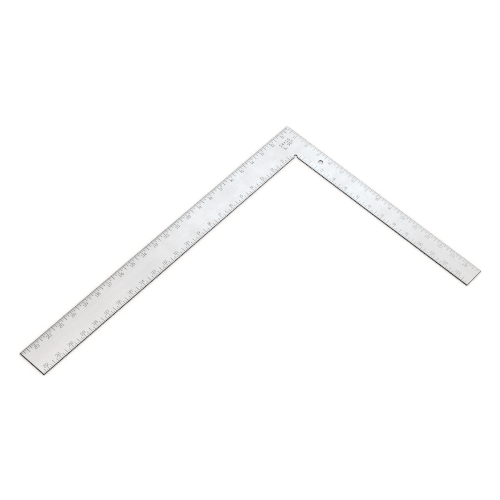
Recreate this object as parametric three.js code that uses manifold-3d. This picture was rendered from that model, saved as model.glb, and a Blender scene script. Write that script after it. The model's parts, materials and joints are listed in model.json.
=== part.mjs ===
// A flat steel framing square: a 24 inch blade and a 16 inch tongue at a right angle, with
// inch graduations let into both faces along all four working edges.
//
// Frame: millimetres, +Z up, the square lying on its back with its face up. The origin is the
// centre of the square's footprint, on the surface it lies on. The blade runs along -Y from the
// heel and the tongue along +X, so the heel is the corner at -X, +Y.
import * as THREE from "three";
import { mergeVertices } from "three/addons/utils/BufferGeometryUtils.js";
import Module from "manifold-3d";

const wasm = await Module();
wasm.setup();

// Driving dimensions.
const INCH = 25.4;
const BLADE_LENGTH = 24 * INCH;
const BLADE_WIDTH = 2 * INCH;
const TONGUE_LENGTH = 16 * INCH;
const TONGUE_WIDTH = 1.5 * INCH;
const THICKNESS = 2;
const EDGE_BREAK = 0.5; // chamfer on every edge of both faces
const RELIEF_RADIUS = 2.75; // drilled relief in the inner corner
const HANGING_HOLE_RADIUS = 4;
const HANGING_HOLE_FROM_BLADE = 37.4; // hole centre, from the blade's inner edge
const HANGING_HOLE_FROM_EDGE = 17.9; // hole centre, from the tongue's outer edge

// The graduations, which are etched and filled flush with the face. Distances are from the edge.
const FILL_DEPTH = 0.1;
const MARGIN_LINE = 0.9; // centre of the fine line that the graduations start from
const MARGIN_WIDTH = 0.3;
const TICK_WIDTH = 0.6;
const INCH_TICK_END = 12;
const HALF_INCH_TICK_END = 9;
const RELIEF_CLEARANCE = 1.5; // from the relief hole to the start of an inner margin line

// The plain right-angle symbol on the heel.
const SYMBOL_FROM_TONGUE = 22; // from the tongue's outer edge
const SYMBOL_FROM_BLADE = 18; // from the blade's outer edge
const SYMBOL_SIZE = 16;
const SYMBOL_STROKE = 1;

const CURVE_SEGMENTS = 16;
const ABOVE_AND_BELOW = 5; // how far a cutting block stands past the plate

const steel = new THREE.MeshStandardMaterial({
  color: 0xd8d8da,
  roughness: 0.35,
  metalness: 1,
});
const fill = new THREE.MeshStandardMaterial({
  color: 0x55565a,
  roughness: 0.6,
  metalness: 0.2,
});

// A point of the square in the part's frame, from its distance to the tongue's outer edge
// (measured along the blade) and to the blade's outer edge (measured along the tongue).
function at(alongBlade, alongTongue) {
  return new THREE.Vector2(
    alongTongue - TONGUE_LENGTH / 2,
    BLADE_LENGTH / 2 - alongBlade,
  );
}

function solidOf(geometry) {
  const bare = new THREE.BufferGeometry();
  const faces = geometry.index ? geometry.toNonIndexed() : geometry;
  bare.setAttribute("position", faces.getAttribute("position"));
  const merged = mergeVertices(bare, 1e-4);
  return new wasm.Manifold(
    new wasm.Mesh({
      numProp: 3,
      vertProperties: merged.attributes.position.array,
      triVerts: new Uint32Array(merged.index.array),
    }),
  );
}

function geometryOf(solid) {
  const mesh = solid.getMesh();
  const geometry = new THREE.BufferGeometry();
  geometry.setAttribute(
    "position",
    new THREE.BufferAttribute(mesh.vertProperties, 3),
  );
  geometry.setIndex(new THREE.BufferAttribute(mesh.triVerts, 1));
  geometry.computeVertexNormals();
  return geometry;
}

// The whole square as one chamfered plate, with its hanging hole and inner-corner relief.
function plateSolid() {
  const heel = at(0, 0);
  const innerCorner = at(TONGUE_WIDTH, BLADE_WIDTH);
  const outline = new THREE.Shape();
  outline.moveTo(heel.x, heel.y);
  for (const corner of [at(BLADE_LENGTH, 0), at(BLADE_LENGTH, BLADE_WIDTH)])
    outline.lineTo(corner.x, corner.y);
  outline.lineTo(innerCorner.x, innerCorner.y - RELIEF_RADIUS);
  outline.absarc(
    innerCorner.x,
    innerCorner.y,
    RELIEF_RADIUS,
    -Math.PI / 2,
    -2 * Math.PI,
    true,
  );
  for (const corner of [at(TONGUE_WIDTH, TONGUE_LENGTH), at(0, TONGUE_LENGTH)])
    outline.lineTo(corner.x, corner.y);
  outline.closePath();

  const holeCentre = at(HANGING_HOLE_FROM_EDGE, BLADE_WIDTH + HANGING_HOLE_FROM_BLADE);
  const hole = new THREE.Path();
  hole.absarc(holeCentre.x, holeCentre.y, HANGING_HOLE_RADIUS, 0, 2 * Math.PI, true);
  outline.holes.push(hole);

  const geometry = new THREE.ExtrudeGeometry(outline, {
    depth: THICKNESS - 2 * EDGE_BREAK,
    bevelThickness: EDGE_BREAK,
    bevelSize: EDGE_BREAK,
    bevelOffset: -EDGE_BREAK,
    bevelSegments: 1,
    curveSegments: CURVE_SEGMENTS,
  });
  return solidOf(geometry.translate(0, 0, EDGE_BREAK));
}

// A block over the blade's full length and width, heel included, to part the blade and tongue.
function bladeBlock() {
  const centre = at(BLADE_LENGTH / 2, BLADE_WIDTH / 2 - ABOVE_AND_BELOW / 2);
  const geometry = new THREE.BoxGeometry(
    BLADE_WIDTH + ABOVE_AND_BELOW,
    BLADE_LENGTH + 2 * ABOVE_AND_BELOW,
    THICKNESS + 2 * ABOVE_AND_BELOW,
  );
  return solidOf(geometry.translate(centre.x, centre.y, THICKNESS / 2));
}

// The four graduated edges. place turns a distance along the scale from its zero, and a
// distance in from the edge, into a point; start and end are the margin line's ends.
const innerStart = RELIEF_RADIUS + RELIEF_CLEARANCE;
const outerStart = MARGIN_LINE + MARGIN_WIDTH;
const scaleEdges = [
  {
    name: "blade_outer",
    length: BLADE_LENGTH,
    start: outerStart,
    place: (along, inFromEdge) => at(along, inFromEdge),
  },
  {
    name: "blade_inner",
    length: BLADE_LENGTH - TONGUE_WIDTH,
    start: innerStart,
    place: (along, inFromEdge) => at(TONGUE_WIDTH + along, BLADE_WIDTH - inFromEdge),
  },
  {
    name: "tongue_outer",
    length: TONGUE_LENGTH,
    start: outerStart,
    place: (along, inFromEdge) => at(inFromEdge, along),
  },
  {
    name: "tongue_inner",
    length: TONGUE_LENGTH - BLADE_WIDTH,
    start: innerStart,
    place: (along, inFromEdge) => at(TONGUE_WIDTH - inFromEdge, BLADE_WIDTH + along),
  },
];

// One scale's fill: its margin line with an inch and a half-inch graduation at each place.
function scaleOutline({ length, start, place }) {
  const nearEdge = MARGIN_LINE - MARGIN_WIDTH / 2;
  const farFromEdge = MARGIN_LINE + MARGIN_WIDTH / 2;
  const end = length - MARGIN_LINE;
  const points = [place(end, farFromEdge), place(end, nearEdge)];
  points.push(place(start, nearEdge), place(start, farFromEdge));
  for (let half = 1; half * (INCH / 2) < end - TICK_WIDTH; half += 1) {
    const along = half * (INCH / 2);
    const tip = half % 2 ? HALF_INCH_TICK_END : INCH_TICK_END;
    points.push(place(along - TICK_WIDTH / 2, farFromEdge));
    points.push(place(along - TICK_WIDTH / 2, tip));
    points.push(place(along + TICK_WIDTH / 2, tip));
    points.push(place(along + TICK_WIDTH / 2, farFromEdge));
  }
  return new THREE.Shape(points);
}

// A right-angle symbol: two equal strokes that meet at a corner like the square's own.
function symbolOutline() {
  const near = (along, across) =>
    at(SYMBOL_FROM_TONGUE + along, SYMBOL_FROM_BLADE + across);
  return new THREE.Shape([
    near(0, 0),
    near(SYMBOL_SIZE, 0),
    near(SYMBOL_SIZE, SYMBOL_STROKE),
    near(SYMBOL_STROKE, SYMBOL_STROKE),
    near(SYMBOL_STROKE, SYMBOL_SIZE),
    near(0, SYMBOL_SIZE),
  ]);
}

// A fill of that outline, flush with the plane that its upper or lower side lies in.
function fillGeometry(outline, lowestZ) {
  const options = { depth: FILL_DEPTH, bevelEnabled: false };
  return new THREE.ExtrudeGeometry(outline, options).translate(0, 0, lowestZ);
}

function namedMesh(name, geometry, material) {
  const mesh = new THREE.Mesh(geometry, material);
  mesh.name = name;
  return mesh;
}

function fillMeshes() {
  const sides = [
    { side: "face", lowestZ: THICKNESS - FILL_DEPTH },
    { side: "back", lowestZ: 0 },
  ];
  const meshes = [];
  for (const { side, lowestZ } of sides)
    for (const edge of scaleEdges) {
      const geometry = fillGeometry(scaleOutline(edge), lowestZ);
      meshes.push(namedMesh(`${edge.name}_${side}_scale`, geometry, fill));
    }
  const symbol = fillGeometry(symbolOutline(), THICKNESS - FILL_DEPTH);
  meshes.push(namedMesh("heel_symbol", symbol, fill));
  return meshes;
}

// The blade, which holds the heel, and the tongue, which meets it face to face, each with
// recesses for the fills that lie in it.
function steelMeshes(fills) {
  const block = bladeBlock();
  let plate = plateSolid();
  for (const mesh of fills) plate = plate.subtract(solidOf(mesh.geometry));
  return [
    namedMesh("blade", geometryOf(plate.intersect(block)), steel),
    namedMesh("tongue", geometryOf(plate.subtract(block)), steel),
  ];
}

const square = new THREE.Group();
square.name = "framing_square";
const fills = fillMeshes();
square.add(...steelMeshes(fills), ...fills);

export default square;
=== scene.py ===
import json
import math
from collections import namedtuple

import bmesh
import bpy
from mathutils import Euler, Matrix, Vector
from mathutils.geometry import delaunay_2d_cdt


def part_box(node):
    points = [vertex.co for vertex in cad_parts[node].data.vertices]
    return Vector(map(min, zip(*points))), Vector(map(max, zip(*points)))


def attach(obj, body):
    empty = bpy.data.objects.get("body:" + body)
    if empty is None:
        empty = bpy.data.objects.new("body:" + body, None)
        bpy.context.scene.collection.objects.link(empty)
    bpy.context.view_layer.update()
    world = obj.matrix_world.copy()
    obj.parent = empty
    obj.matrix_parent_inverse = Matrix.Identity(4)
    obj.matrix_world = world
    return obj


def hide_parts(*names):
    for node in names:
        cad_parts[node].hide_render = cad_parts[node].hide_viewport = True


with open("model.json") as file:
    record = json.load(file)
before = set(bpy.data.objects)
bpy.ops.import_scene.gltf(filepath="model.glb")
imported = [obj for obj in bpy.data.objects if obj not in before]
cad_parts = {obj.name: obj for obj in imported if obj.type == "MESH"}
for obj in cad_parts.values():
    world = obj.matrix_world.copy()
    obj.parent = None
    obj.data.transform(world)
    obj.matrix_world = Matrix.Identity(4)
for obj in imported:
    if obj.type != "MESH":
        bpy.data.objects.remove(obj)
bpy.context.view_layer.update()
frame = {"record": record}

MM = 0.001
INCH = 25.4 * MM

# The plate, as the frame has it.
blade_low, blade_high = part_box("blade")
tongue_low, tongue_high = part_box("tongue")
symbol_low, symbol_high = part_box("heel_symbol")
opening_low, opening_high = frame["record"]["physics"]["openings"][0]["box_m"]
THICKNESS = blade_high.z - blade_low.z
FLOOR_LEVEL = blade_low.z
SEAM = blade_high.x
HEEL = Vector((blade_low.x, blade_high.y))
INNER_CORNER = Vector((blade_high.x, tongue_low.y))
HOLE_CENTRE = Vector((opening_low[0] + opening_high[0], opening_low[1] + opening_high[1])) / 2
BLADE_LENGTH = blade_high.y - blade_low.y
TONGUE_LENGTH = tongue_high.x - blade_low.x
HOLE_RADIUS = 4.0 * MM
RELIEF_RADIUS = 2.75 * MM
CIRCLE_STEPS = 48

# Every edge of both faces is lightly rounded over, the hanging hole's least of all.
EDGE_BREAK = 0.5 * MM
HOLE_EDGE_BREAK = 0.2 * MM
EDGE_STEPS = 4

# Each arm's finish. Its grain runs along X or Y. A painted dark rim stands in for the edges' dark
# reflection and reaches from the edges onto the face, stronger away from the heel where the light
# falls off; the value at the heel is how much of it is there already. The blade gets painted shade
# along its outer edge, and a painted sheen towards its inner edge by that share at its end.
Finish = namedtuple("Finish", "grain roughness anisotropy rim_width rim_at_heel polish")
FINISHES = {
    "blade": Finish("Y", 0.37, 0.72, rim_width=1.1 * MM, rim_at_heel=0.0, polish=0.42),
    "tongue": Finish("X", 0.35, 0.6, rim_width=1.6 * MM, rim_at_heel=0.3, polish=0.0),
}
# The painted dark rim reaches this much further in from the blade's end.
END_PAINTED_RIM_EXTRA = 0.4 * MM  # further in from the blade's end
# The painted shade along the blade's outer edge, and where the painted sheen starts.
OUTER_SHADE_WIDTH = 10 * MM
OUTER_SHADE_SHARE = 0.22  # at the blade's end
SHEEN_START = 0.6  # of the way down the blade

# The marks are etched into the plate and filled with dark paint, which has shrunk a little.
ETCH_DEPTH = 0.08 * MM
FILL_TOP = 0.02 * MM
FILL_BOTTOM = 0.075 * MM
TICK_START = 0.8 * MM
NUMERAL_BASE = 6.8 * MM
NUMERAL_HEIGHT = 5.3 * MM
NUMERAL_FROM_LINE = 2.75 * MM

# A tick's length and width, by how it divides the inch.
TICK_SIZES = {
    1: (12.0 * MM, 0.64 * MM),
    2: (9.0 * MM, 0.72 * MM),
    4: (6.5 * MM, 0.66 * MM),
    8: (4.2 * MM, 0.48 * MM),
    12: (3.4 * MM, 0.42 * MM),
    16: (2.7 * MM, 0.35 * MM),
}
NUMERAL_STROKE = 0.50 * MM

# How heavily each scale's marks are cut.
WEIGHTS = {"blade_outer": 1.0, "blade_inner": 0.88, "tongue_outer": 0.64, "tongue_inner": 0.66}

# Divisions of the inch along each side's outer edges, and along its inner edges.
FACE_DIVISIONS = (16, 8)
BACK_DIVISIONS = (12, 16)

# The heel's marking: rows of glyphs, with each row's rise and shift from the marking's middle.
SYMBOL_HEIGHT = 5.6 * MM
SYMBOL_PITCH = 5.0 * MM
SYMBOL_STROKE = 0.7 * MM
SYMBOL_ROWS = [
    (("2", "4", "times", "1", "6"), 3.6 * MM, 0.0),
    (("right_angle", None, "9", "0", "degree"), -4.2 * MM, 2.0 * MM),
]

MERGE_DISTANCE = 1e-8
COUNT_TOLERANCE = 0.01  # of an inch, so that a length of whole inches counts as no more

# Places in the steel pieces' lists of materials.
FACE, EDGE, RECESS = 0, 1, 2


# ---------------------------------------------------------------------------------------------
# Glyphs of the numerals and the heel's marking: strokes in a box one unit tall, y up.

DIGIT_WIDTH = 0.66
SHARPEST_TURN = 0.5  # least cosine that a stroke's corner is mitred for


def arc(x, y, across, up, start, end, steps=10):
    """Points of an elliptical arc about (x, y), from one angle in degrees to another."""
    angles = [math.radians(start + (end - start) * step / steps) for step in range(steps + 1)]
    return [(x + across * math.cos(a), y + up * math.sin(a)) for a in angles]


def ring(x, y, across, up):
    """A closed ellipse, as two arcs."""
    return [arc(x, y, across, up, 0, 180), arc(x, y, across, up, 180, 360)]


def upside_down(strokes):
    return [[(DIGIT_WIDTH - x, 1 - y) for x, y in stroke] for stroke in strokes]


SIX = ring(0.33, 0.33, 0.26, 0.27) + [arc(0.50, 0.33, 0.43, 0.61, 180, 96)]
GLYPHS = {
    "0": ring(0.33, 0.50, 0.26, 0.44),
    "1": [[(0.15, 0.78), (0.35, 0.94), (0.35, 0.06)], [(0.14, 0.06), (0.56, 0.06)]],
    "2": [arc(0.33, 0.68, 0.26, 0.26, 170, -30) + [(0.07, 0.06)], [(0.07, 0.06), (0.60, 0.06)]],
    "3": [arc(0.31, 0.72, 0.25, 0.22, 150, -90), arc(0.31, 0.28, 0.27, 0.22, 90, -150)],
    "4": [[(0.46, 0.06), (0.46, 0.94)], [(0.46, 0.94), (0.06, 0.30)], [(0.06, 0.30), (0.61, 0.30)]],
    "5": [[(0.56, 0.94), (0.14, 0.94), (0.10, 0.54)], arc(0.31, 0.34, 0.27, 0.28, 140, -145)],
    "6": SIX,
    "7": [[(0.06, 0.94), (0.60, 0.94)], [(0.60, 0.94), (0.26, 0.06)]],
    "8": ring(0.33, 0.73, 0.21, 0.21) + ring(0.33, 0.29, 0.26, 0.23),
    "9": upside_down(SIX),
    "degree": ring(0.24, 0.80, 0.15, 0.15),
    "times": [[(0.10, 0.24), (0.56, 0.70)], [(0.10, 0.70), (0.56, 0.24)]],
    "right_angle": [
        [(0.05, 0.95), (0.05, 0.05), (0.95, 0.05)],
        [(0.05, 0.40), (0.40, 0.40), (0.40, 0.05)],
    ],
}


def ribbon(path, width, cap_steps=5):
    """The outline of a stroke of that width along path, with round ends."""
    points = [Vector(p) for p in path]
    headings = [(b - a).normalized() for a, b in zip(points, points[1:])]
    left, right = [], []
    for index, point in enumerate(points):
        before = headings[max(index - 1, 0)]
        after = headings[min(index, len(headings) - 1)]
        middle = (before + after).normalized()
        reach = width / 2 / max(middle.dot(after), SHARPEST_TURN)
        side = Vector((-middle.y, middle.x)) * reach
        left.append(point + side)
        right.append(point - side)

    def cap(centre, heading):
        start = math.atan2(heading.y, heading.x) - math.pi / 2
        turns = [start + math.pi * step / cap_steps for step in range(1, cap_steps)]
        return [centre + Vector((math.cos(a), math.sin(a))) * width / 2 for a in turns]

    far_cap = cap(points[-1], headings[-1])
    near_cap = cap(points[0], -headings[0])
    return right + far_cap + left[::-1] + near_cap


def glyph_outlines(name, centre, reading, top, height, stroke):
    """Outlines of a glyph whose base is centred on a point, in the plate's plane."""
    corner = centre - reading * DIGIT_WIDTH * height / 2
    outlines = []
    for path in GLYPHS[name]:
        placed = [corner + reading * x * height + top * y * height for x, y in path]
        outlines.append(ribbon(placed, stroke))
    return outlines


# ---------------------------------------------------------------------------------------------
# Scales: ticks and numerals along one edge of one side.

DOWN_BLADE = Vector((0, -1))
UP_TONGUE = Vector((1, 0))

# origin is the scale's zero, along its direction, inward the direction from the edge into the
# steel, and top the direction of its numerals' tops. A mitred scale's first ticks stop short of
# the diagonal from the heel.
Scale = namedtuple("Scale", "name origin along inward top length divisions mitred weight")


def scales_of_side(side, outer_divisions, inner_divisions):
    inner_blade_length = INNER_CORNER.y - blade_low.y
    inner_tongue_length = tongue_high.x - INNER_CORNER.x
    blade = {"along": DOWN_BLADE, "top": -UP_TONGUE}
    tongue = {"along": UP_TONGUE, "top": -DOWN_BLADE}
    outer = {"origin": HEEL, "divisions": outer_divisions, "mitred": True}
    inner = {"origin": INNER_CORNER, "divisions": inner_divisions, "mitred": False}
    scales = {
        "blade_outer": {**blade, **outer, "inward": UP_TONGUE, "length": BLADE_LENGTH},
        "blade_inner": {**blade, **inner, "inward": -UP_TONGUE, "length": inner_blade_length},
        "tongue_outer": {**tongue, **outer, "inward": DOWN_BLADE, "length": TONGUE_LENGTH},
        "tongue_inner": {**tongue, **inner, "inward": -DOWN_BLADE, "length": inner_tongue_length},
    }
    return [
        Scale(name=f"{edge}_{side}", weight=WEIGHTS[edge], **fields)
        for edge, fields in scales.items()
    ]


def tick_rank(index, divisions):
    """The coarsest division of the inch that a tick falls on: 1 for whole inches."""
    for rank in sorted(TICK_SIZES):
        if divisions % rank == 0 and index * rank % divisions == 0:
            return rank
    return divisions


def tick_outlines(scale):
    outlines = []
    count = round(scale.length / INCH * scale.divisions)
    for index in range(1, count):
        along = index * INCH / scale.divisions
        tip, width = TICK_SIZES[tick_rank(index, scale.divisions)]
        if scale.mitred:
            tip = min(tip, along - width)
        if tip < 2 * TICK_START or along < RELIEF_RADIUS + TICK_START:
            continue
        foot = scale.origin + scale.along * along + scale.inward * TICK_START
        head = scale.origin + scale.along * along + scale.inward * tip
        half = scale.along * width * scale.weight / 2
        outlines.append([foot - half, foot + half, head + half, head - half])
    return outlines


def numeral_outlines(scale, seen_from_above):
    turn = -1 if seen_from_above else 1
    reading = Vector((-scale.top.y, scale.top.x)) * turn
    base = NUMERAL_BASE
    if scale.top.dot(scale.inward) < 0:
        base += NUMERAL_HEIGHT
    stroke = NUMERAL_STROKE * scale.weight
    outlines = []
    for number in range(1, math.ceil(scale.length / INCH - COUNT_TOLERANCE)):
        line = scale.origin + scale.along * number * INCH + scale.inward * base
        digits = str(number)
        if len(digits) == 1:
            centres = [line - scale.along * NUMERAL_FROM_LINE]
        else:
            centres = [line - reading * NUMERAL_FROM_LINE, line + reading * NUMERAL_FROM_LINE]
        for digit, centre in zip(digits, centres):
            outlines += glyph_outlines(digit, centre, reading, scale.top, NUMERAL_HEIGHT, stroke)
    return outlines


def heel_symbol_outlines():
    """Two plain rows in place of a maker's marking: the square's size in inches, and its angle."""
    top = -UP_TONGUE
    reading = -DOWN_BLADE
    middle = (symbol_low + symbol_high).xy / 2
    outlines = []
    for glyphs, rise, shift in SYMBOL_ROWS:
        start = middle + top * rise + reading * (shift - SYMBOL_PITCH * (len(glyphs) - 1) / 2)
        for index, glyph in enumerate(glyphs):
            if glyph:
                centre = start + reading * SYMBOL_PITCH * index
                outlines += glyph_outlines(glyph, centre, reading, top, SYMBOL_HEIGHT, SYMBOL_STROKE)
    return outlines


def marks_of_side(side):
    """(name, outline) of every mark on a side of the plate."""
    seen_from_above = side == "face"
    divisions = FACE_DIVISIONS if seen_from_above else BACK_DIVISIONS
    marks = []
    for scale in scales_of_side(side, *divisions):
        for outline in tick_outlines(scale) + numeral_outlines(scale, seen_from_above):
            marks.append((scale.name, outline))
    if seen_from_above:
        marks += [("heel_symbol", outline) for outline in heel_symbol_outlines()]
    return marks


# ---------------------------------------------------------------------------------------------
# The plate's outline and its faces.


def plate_loops():
    """The outline, with steel on its left, and the hanging hole, likewise."""
    outline = [HEEL, Vector((blade_low.x, blade_low.y)), Vector((blade_high.x, blade_low.y))]
    relief_steps = CIRCLE_STEPS * 3 // 4
    for step in range(relief_steps + 1):
        angle = math.radians(-90 - 270 * step / relief_steps)
        outline.append(INNER_CORNER + RELIEF_RADIUS * Vector((math.cos(angle), math.sin(angle))))
    outline += [Vector((tongue_high.x, tongue_low.y)), Vector((tongue_high.x, tongue_high.y))]
    hole = []
    for step in range(CIRCLE_STEPS):
        angle = -2 * math.pi * step / CIRCLE_STEPS
        hole.append(HOLE_CENTRE + HOLE_RADIUS * Vector((math.cos(angle), math.sin(angle))))
    return outline, hole


def inset(loop, amount):
    """The loop moved that far into the steel on its left."""
    moved = []
    for index, point in enumerate(loop):
        before = (point - loop[index - 1]).normalized()
        after = (loop[(index + 1) % len(loop)] - point).normalized()
        middle = (before + after).normalized()
        reach = amount / middle.dot(after)
        moved.append(point + Vector((-middle.y, middle.x)) * reach)
    return moved


def edge_rings(edge_break):
    """(inset, height) of each ring of a rim, from the face over both broken edges to the back."""
    upper = []
    for step in range(EDGE_STEPS + 1):
        angle = math.pi / 2 * step / EDGE_STEPS
        amount = edge_break * (1 - math.sin(angle))
        drop = edge_break * (1 - math.cos(angle))
        upper.append((amount, THICKNESS - drop))
    lower = [(amount, THICKNESS - height) for amount, height in reversed(upper)]
    return [(amount, FLOOR_LEVEL + height) for amount, height in upper + lower]


def counterclockwise(loop):
    area = sum(a.x * b.y - b.x * a.y for a, b in zip(loop, loop[1:] + loop[:1]))
    return loop if area > 0 else loop[::-1]


# points and triangles of a face, what each triangle belongs to (None for plain steel), and the
# index of each point of its outline and of its hole.
CutFace = namedtuple("CutFace", "points triangles owners outline hole")


def cut_face(outline, hole, marks):
    """Triangles of a face, with the marks' outlines cut into it."""
    points = []
    loops = []
    for loop in [outline, hole[::-1]] + [counterclockwise(mark) for _, mark in marks]:
        loops.append(list(range(len(points), len(points) + len(loop))))
        points += loop
    made = delaunay_2d_cdt(points, [], loops, 1, MERGE_DISTANCE)
    new_points, _, faces, sources, _, face_sources = made
    place = {old: new for new, olds in enumerate(sources) for old in olds}
    triangles, owners = [], []
    for face, inside in zip(faces, face_sources):
        if 0 not in inside or 1 in inside:
            continue
        names = [marks[loop - 2][0] for loop in sorted(inside) if loop > 1]
        triangles.append(face)
        owners.append(names[0] if names else None)
    outline_at = [place[index] for index in loops[0]]
    hole_at = [place[index] for index in reversed(loops[1])]
    return CutFace(new_points, triangles, owners, outline_at, hole_at)


def edge_owners(cut):
    """The owner of the triangle on the left of each directed edge."""
    owners = {}
    for triangle, owner in zip(cut.triangles, cut.owners):
        for start, end in zip(triangle, triangle[1:] + triangle[:1]):
            owners[start, end] = owner
    return owners


def add_face(mesh, corners, upward, material=0, smooth=False):
    face = mesh.faces.new(corners if upward else corners[::-1])
    face.material_index = material
    face.smooth = smooth


class Vertices:
    """A mesh's vertices over the points of a cut face, each made when it is first asked for."""

    def __init__(self, mesh, points):
        self.mesh = mesh
        self.points = points
        self.made = {}

    def at(self, index, height):
        if (index, height) not in self.made:
            x, y = self.points[index]
            self.made[index, height] = self.mesh.verts.new((x, y, height))
        return self.made[index, height]


def add_plate_side(mesh, cut, upward):
    """One side of the plate, with its recesses. Returns the surface's vertices by point."""
    surface = FLOOR_LEVEL + (THICKNESS if upward else 0)
    floor = surface - ETCH_DEPTH if upward else surface + ETCH_DEPTH
    vertices = Vertices(mesh, cut.points)
    for triangle, owner in zip(cut.triangles, cut.owners):
        height = surface if owner is None else floor
        corners = [vertices.at(index, height) for index in triangle]
        add_face(mesh, corners, upward, FACE if owner is None else RECESS)
    owners = edge_owners(cut)
    for (start, end), owner in owners.items():
        if owner is None and owners.get((end, start)) is not None:
            upper = [vertices.at(end, surface), vertices.at(start, surface)]
            lower = [vertices.at(start, floor), vertices.at(end, floor)]
            add_face(mesh, upper + lower, upward, RECESS)
    return {index: made for (index, height), made in vertices.made.items() if height == surface}


def add_rim(mesh, loop, edge_break, face_ring, back_ring):
    """The edge of the plate around a loop, between rings of vertices that exist already."""
    heights = edge_rings(edge_break)
    rings = [face_ring]
    for amount, height in heights[1:-1]:
        rings.append([mesh.verts.new((p.x, p.y, height)) for p in inset(loop, amount)])
    rings.append(back_ring)
    for upper, lower in zip(rings, rings[1:]):
        for index in range(len(loop)):
            following = (index + 1) % len(loop)
            corners = [upper[index], lower[index], lower[following], upper[following]]
            add_face(mesh, corners, True, EDGE, smooth=True)


def plate_mesh(face_cut, back_cut):
    mesh = bmesh.new()
    face = add_plate_side(mesh, face_cut, upward=True)
    back = add_plate_side(mesh, back_cut, upward=False)
    outline, hole = plate_loops()
    outer_rings = [face[i] for i in face_cut.outline], [back[i] for i in back_cut.outline]
    hole_rings = [face[i] for i in face_cut.hole], [back[i] for i in back_cut.hole]
    add_rim(mesh, outline, EDGE_BREAK, *outer_rings)
    add_rim(mesh, hole, HOLE_EDGE_BREAK, *hole_rings)
    return mesh


def half_of_plate(plate, keep_tongue):
    """The plate on one side of the seam, closed there by a flat end."""
    half = plate.copy()
    bmesh.ops.bisect_plane(
        half,
        geom=half.verts[:] + half.edges[:] + half.faces[:],
        dist=MERGE_DISTANCE,
        plane_co=(SEAM, 0, 0),
        plane_no=(1, 0, 0),
        clear_inner=keep_tongue,
        clear_outer=not keep_tongue,
    )
    open_edges = [edge for edge in half.edges if edge.is_boundary]
    for face in bmesh.ops.holes_fill(half, edges=open_edges, sides=0)["faces"]:
        face.material_index = EDGE
    return half


def fill_mesh(cut, name, upward):
    """The paint in one scale's recesses: a thin closed solid in each."""
    surface = FLOOR_LEVEL + (THICKNESS if upward else 0)
    inwards = -1 if upward else 1
    outer = surface + inwards * FILL_TOP
    inner = surface + inwards * FILL_BOTTOM
    mesh = bmesh.new()
    vertices = Vertices(mesh, cut.points)
    for triangle, owner in zip(cut.triangles, cut.owners):
        if owner == name:
            add_face(mesh, [vertices.at(index, outer) for index in triangle], upward)
            add_face(mesh, [vertices.at(index, inner) for index in triangle], not upward)
    owners = edge_owners(cut)
    for (start, end), owner in owners.items():
        if owner == name and owners.get((end, start)) != name:
            bottom = [vertices.at(start, inner), vertices.at(end, inner)]
            top = [vertices.at(end, outer), vertices.at(start, outer)]
            add_face(mesh, bottom + top, upward)
    return mesh


# ---------------------------------------------------------------------------------------------
# Materials.

NOISE_RANGE = (0.3, 0.7)  # where nearly all of a noise's values lie


def grey(level, blue=0.0):
    """A linear grey, with that much more blue."""
    return (level, level, level + blue, 1)


class Nodes:
    """A material's node tree, with short calls for adding nodes and joining them."""

    def __init__(self, name):
        self.material = bpy.data.materials.new(name)
        self.material.use_nodes = True
        self.tree = self.material.node_tree
        self.shader = next(n for n in self.tree.nodes if n.type == "BSDF_PRINCIPLED")

    def add(self, kind, inputs=None, **settings):
        node = self.tree.nodes.new("ShaderNode" + kind)
        for name, value in settings.items():
            setattr(node, name, value)
        for name, value in (inputs or {}).items():
            if isinstance(value, bpy.types.NodeSocket):
                self.tree.links.new(value, node.inputs[name])
            else:
                node.inputs[name].default_value = value
        return node

    def join(self, output, socket):
        self.tree.links.new(output, self.shader.inputs[socket])

    def noise(self, per_metre, detail=2.0, turn=0.0, seed=0.0):
        """Noise with that many features to the metre along X, Y and Z, turned about Z."""
        place = self.add("TexCoord").outputs["Object"]
        mapping = self.add("Mapping", {"Vector": place})
        mapping.vector_type = "TEXTURE"
        mapping.inputs["Rotation"].default_value = (0, 0, turn)
        mapping.inputs["Scale"].default_value = [1 / count for count in per_metre]
        mapping.inputs["Location"].default_value = (seed, seed, seed)
        noise = self.add("TexNoise", {"Vector": mapping.outputs["Vector"], "Detail": detail})
        noise.inputs["Scale"].default_value = 1.0
        return noise.outputs["Fac"]

    def span(self, value, low, high, to_low=0.0, to_high=1.0, smooth=False):
        """value mapped from low..high to to_low..to_high."""
        node = self.add("MapRange", {"Value": value, "From Min": low, "From Max": high})
        node.inputs["To Min"].default_value = to_low
        node.inputs["To Max"].default_value = to_high
        node.interpolation_type = "SMOOTHSTEP" if smooth else "LINEAR"
        return node.outputs["Result"]

    def math(self, operation, first, second):
        return self.add("Math", {0: first, 1: second}, operation=operation).outputs["Value"]

    def bump(self, height, strength, depth):
        node = self.add("Bump", {"Height": height, "Strength": strength, "Distance": depth})
        self.join(node.outputs["Normal"], "Normal")

    def blend(self, factor, first, second):
        """The first colour, turning into the second as factor goes from 0 to 1."""
        node = self.add("Mix", {0: factor, 6: first, 7: second}, data_type="RGBA")
        return node.outputs[2]


def along_grain(counts, grain):
    """Features to the metre as (X, Y, Z), from (along the grain, across it)."""
    along, across = counts
    return (along, across, across) if grain == "X" else (across, along, across)


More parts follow.
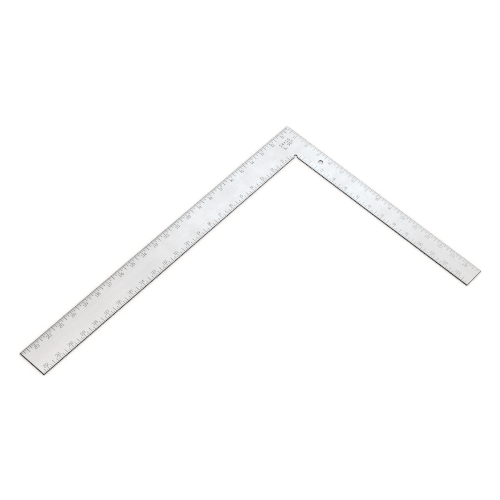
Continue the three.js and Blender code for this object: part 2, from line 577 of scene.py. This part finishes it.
def distance_to_edges(made):
    """Three distances of a point of the face: to the nearest edge that has a painted dark rim
    (either inner edge, or the blade's outer edge or end), to the blade's outer edge, and from the
    heel as a share of the arm's length."""
    place = made.add("SeparateXYZ", {"Vector": made.add("TexCoord").outputs["Object"]})
    x, y = place.outputs["X"], place.outputs["Y"]
    from_outer = made.math("SUBTRACT", x, blade_low.x)
    from_blade_end = made.math("SUBTRACT", y, blade_low.y + END_PAINTED_RIM_EXTRA)

    # The inner edges bound a quadrant of empty space, so what counts is how far it is to that.
    across = made.math("MAXIMUM", made.math("SUBTRACT", INNER_CORNER.x, x), 0.0)
    beyond = made.math("MAXIMUM", made.math("SUBTRACT", y, INNER_CORNER.y), 0.0)
    across_squared = made.math("MULTIPLY", across, across)
    beyond_squared = made.math("MULTIPLY", beyond, beyond)
    from_inner = made.math("SQRT", made.math("ADD", across_squared, beyond_squared), 0.0)
    nearest = made.math("MINIMUM", made.math("MINIMUM", from_outer, from_inner), from_blade_end)

    down_blade = made.math("DIVIDE", made.math("SUBTRACT", HEEL.y, y), BLADE_LENGTH)
    up_tongue = made.math("DIVIDE", made.math("SUBTRACT", x, HEEL.x), TONGUE_LENGTH)
    return nearest, from_outer, made.math("MAXIMUM", down_blade, up_tongue)


def brushed_steel(arm):
    """Satin steel with an arm's grain, with a painted dark rim along its edges, painted shade along
    the blade's outer edge and a painted sheen near its inner edge.
    """
    finish = FINISHES[arm]
    made = Nodes(f"brushed_{arm}")
    streaks = made.noise(along_grain((9, 1100), finish.grain), detail=3)
    bands = made.noise(along_grain((4, 150), finish.grain), detail=2, seed=3.1)
    clouds = made.noise((14, 14, 14), detail=3, seed=7.7)
    smudges = made.noise((55, 55, 55), detail=4, seed=1.9)
    crossing = made.noise(along_grain((30, 2300), finish.grain), detail=1, turn=0.12, seed=5.3)
    scratches = made.span(crossing, 0.72, 0.78, smooth=True)

    streak_tone = made.span(streaks, *NOISE_RANGE, -0.035, 0.035)
    band_tone = made.span(bands, *NOISE_RANGE, -0.02, 0.02)
    cloud_tone = made.span(clouds, *NOISE_RANGE, -0.015, 0.015)
    tone = made.math("ADD", made.math("ADD", streak_tone, band_tone), cloud_tone)
    colour = made.blend(made.span(tone, -0.1, 0.1), grey(0.54), grey(0.672))
    colour = made.blend(made.math("MULTIPLY", scratches, 0.25), colour, grey(0.36, blue=0.005))

    nearest, from_outer, from_heel = distance_to_edges(made)
    # Painted sheen: lighter towards the blade's inner edge near its end.
    polish = made.span(from_outer, OUTER_SHADE_WIDTH, SEAM - HEEL.x, smooth=True)
    painted_sheen_here = made.span(from_heel, SHEEN_START, 1.0, 0.0, finish.polish)
    colour = made.blend(made.math("MULTIPLY", polish, painted_sheen_here), colour, grey(0.8))
    # Painted shade: a dark rim along the edges standing in for their dark reflection, lighter near
    # the heel where the light is.
    rim = made.span(nearest, EDGE_BREAK, finish.rim_width, 1.0, 0.0, smooth=True)
    painted_rim_here = made.span(from_heel, 0.0, 1.0, finish.rim_at_heel, 1.0)
    colour = made.blend(made.math("MULTIPLY", rim, painted_rim_here), colour, grey(0.02, blue=0.001))
    # Painted shade: darker and warmer along the blade's outer edge towards its end.
    painted_outer_shade = made.span(from_outer, 0.0, OUTER_SHADE_WIDTH, 1.0, 0.0, smooth=True)
    painted_outer_shade_here = made.span(from_heel, 0.1, 1.0, 0.0, OUTER_SHADE_SHARE)
    colour = made.blend(made.math("MULTIPLY", painted_outer_shade, painted_outer_shade_here), colour, (0.2, 0.19, 0.185, 1))
    made.join(colour, "Base Color")

    rougher, smoother = finish.roughness + 0.05, finish.roughness - 0.05
    streak_rough = made.span(streaks, *NOISE_RANGE, smoother, rougher)
    smudge_rough = made.span(smudges, 0.35, 0.7, -0.02, 0.05)
    made.join(made.math("ADD", streak_rough, smudge_rough), "Roughness")
    made.shader.inputs["Metallic"].default_value = 1.0
    made.shader.inputs["Anisotropic"].default_value = finish.anisotropy
    tangent = made.add("Tangent", direction_type="UV_MAP", uv_map="grain")
    made.join(tangent.outputs["Tangent"], "Tangent")

    relief = made.math("SUBTRACT", streaks, made.math("MULTIPLY", scratches, 0.5))
    made.bump(relief, strength=0.25, depth=0.01 * MM)
    return made.material


def broken_edge():
    """The sheared and rounded-over edge, painted near black for a dark reflection, and rubbed
    brighter in places.
    """
    made = Nodes("broken_edge")
    scale = made.noise((300, 300, 900), detail=3)
    dark = made.blend(made.span(scale, *NOISE_RANGE), grey(0.004), grey(0.014, blue=0.001))
    patches = made.noise((25, 25, 25), detail=2, seed=4.2)
    rubbed = made.span(patches, 0.55, 0.8, to_high=0.2, smooth=True)
    made.join(made.blend(rubbed, dark, grey(0.08, blue=0.005)), "Base Color")
    made.join(made.span(scale, *NOISE_RANGE, 0.38, 0.55), "Roughness")
    made.shader.inputs["Metallic"].default_value = 1.0
    made.bump(scale, strength=0.3, depth=0.03 * MM)
    return made.material


def etched_recess():
    """The rough bare steel at the bottom and sides of an etched mark."""
    made = Nodes("etched_recess")
    grain = made.noise((4000, 4000, 4000), detail=2)
    made.join(made.blend(grain, grey(0.10), grey(0.22)), "Base Color")
    made.shader.inputs["Metallic"].default_value = 0.8
    made.shader.inputs["Roughness"].default_value = 0.7
    return made.material


def mark_paint(name, dark, worn):
    """Matt paint in the etched marks, thinner and greyer where it has worn."""
    made = Nodes(name)
    patches = made.noise((70, 70, 70), detail=3, seed=2.4)
    grain = made.noise((2500, 2500, 2500), detail=2)
    worn_patches = made.span(patches, 0.45, 0.75, 0.0, 0.6)
    worn_grain = made.span(grain, *NOISE_RANGE, -0.1, 0.2)
    made.join(made.blend(made.math("ADD", worn_patches, worn_grain), dark, worn), "Base Color")
    made.shader.inputs["Specular IOR Level"].default_value = 0.25
    made.join(made.span(grain, *NOISE_RANGE, 0.55, 0.75), "Roughness")
    made.bump(grain, strength=0.3, depth=0.01 * MM)
    return made.material


# ---------------------------------------------------------------------------------------------
# Pieces.


def add_piece(name, mesh, materials, slot, *nodes):
    data = bpy.data.meshes.new(name)
    mesh.to_mesh(data)
    mesh.free()
    for material in materials:
        data.materials.append(material)
    piece = bpy.data.objects.new(name, data)
    bpy.context.scene.collection.objects.link(piece)
    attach(piece, "root")
    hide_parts(*nodes)
    return piece


def add_grain_map(piece, grain):
    """A UV map in metres whose U runs across the grain, which is how highlights on it stretch."""
    along = "XY".index(grain)
    across = 1 - along
    layer = piece.data.uv_layers.new(name="grain")
    for loop in piece.data.loops:
        place = piece.data.vertices[loop.vertex_index].co
        layer.data[loop.index].uv = (place[across], place[along])


def build_steel(cuts):
    plate = plate_mesh(cuts["face"], cuts["back"])
    steels = {arm: brushed_steel(arm) for arm in FINISHES}
    edge = broken_edge()
    recess = etched_recess()
    for arm, steel in steels.items():
        half = half_of_plate(plate, keep_tongue=arm == "tongue")
        piece = add_piece(f"steel_{arm}", half, [steel, edge, recess], "steel", arm)
        add_grain_map(piece, FINISHES[arm].grain)
    plate.free()


def build_marks(cuts):
    paints = {
        "blade": mark_paint("blade_paint", grey(0.008, blue=0.001), grey(0.035, blue=0.003)),
        "tongue": mark_paint("tongue_paint", grey(0.07, blue=0.005), grey(0.16, blue=0.005)),
    }
    for side, cut in cuts.items():
        for edge_name in WEIGHTS:
            name = f"{edge_name}_{side}"
            mesh = fill_mesh(cut, name, upward=side == "face")
            paint = paints[edge_name.split("_")[0]]
            add_piece(f"{name}_marks", mesh, [paint], "graduation_fill", f"{name}_scale")
    worn_paint = mark_paint("symbol_paint", grey(0.10, blue=0.005), grey(0.22, blue=0.005))
    symbol = fill_mesh(cuts["face"], "heel_symbol", upward=True)
    add_piece("heel_symbol_marks", symbol, [worn_paint], "graduation_fill", "heel_symbol")


def build_square():
    outline, hole = plate_loops()
    face_rim = inset(outline, EDGE_BREAK)
    hole_rim = inset(hole, HOLE_EDGE_BREAK)
    cuts = {side: cut_face(face_rim, hole_rim, marks_of_side(side)) for side in ("face", "back")}
    build_steel(cuts)
    build_marks(cuts)


# ---------------------------------------------------------------------------------------------
# Stage, light and camera.


def add_floor():
    bpy.ops.mesh.primitive_plane_add(size=12.0, location=(0, 0, FLOOR_LEVEL))
    floor = bpy.context.object
    floor.name = "floor"
    made = Nodes("floor_white")
    made.shader.inputs["Base Color"].default_value = grey(0.82)
    made.shader.inputs["Roughness"].default_value = 1.0
    made.shader.inputs["Specular IOR Level"].default_value = 0.0
    floor.data.materials.append(made.material)


def add_world():
    """Even, slightly warm light from all around."""
    world = bpy.data.worlds.new("studio")
    world.use_nodes = True
    background = world.node_tree.nodes["Background"]
    background.inputs["Color"].default_value = (1.0, 0.975, 0.965, 1)
    background.inputs["Strength"].default_value = 1.25
    bpy.context.scene.world = world


def add_softbox():
    """A small cool softbox beyond the heel, whose highlight lies around the heel."""
    softbox = bpy.data.lights.new("softbox", "AREA")
    softbox.shape = "RECTANGLE"
    softbox.size = 0.5
    softbox.size_y = 0.5
    softbox.energy = 1.4
    softbox.color = (0.66, 0.88, 1.0)
    light = bpy.data.objects.new("softbox", softbox)
    light.location = (-0.68, 1.23, 1.82)
    lit_point = Vector((0, 0.2, 0))
    light.rotation_euler = (lit_point - light.location).to_track_quat("-Z", "Y").to_euler()
    bpy.context.scene.collection.objects.link(light)


def add_camera():
    """The camera looks down on the square from in front and to the right, with a slight roll."""
    azimuth = math.radians(32.99)
    elevation = math.radians(55.91)
    roll = math.radians(10.06)
    distance = 2.2348
    target = Vector((-0.0831, 0.0736, THICKNESS))
    outward = Vector((
        math.cos(elevation) * math.sin(azimuth),
        -math.cos(elevation) * math.cos(azimuth),
        math.sin(elevation),
    ))
    camera = bpy.data.objects.new("camera", bpy.data.cameras.new("camera"))
    camera.data.lens = 102.6
    camera.data.sensor_width = 36
    camera.data.clip_start = 0.05
    camera.data.clip_end = 50
    upright = Euler((math.pi / 2 - elevation, 0, azimuth)).to_matrix()
    camera.rotation_euler = (upright @ Euler((0, 0, roll)).to_matrix()).to_euler()
    camera.location = target + outward * distance
    bpy.context.scene.collection.objects.link(camera)
    bpy.context.scene.camera = camera


build_square()
add_floor()
add_world()
add_softbox()
add_camera()
bpy.context.scene.view_settings.view_transform = "Standard"

# The graduations are finer than a pixel, so nothing may smear them.
bpy.context.scene.cycles.use_denoising = False
bpy.context.scene.cycles.filter_width = 1.1
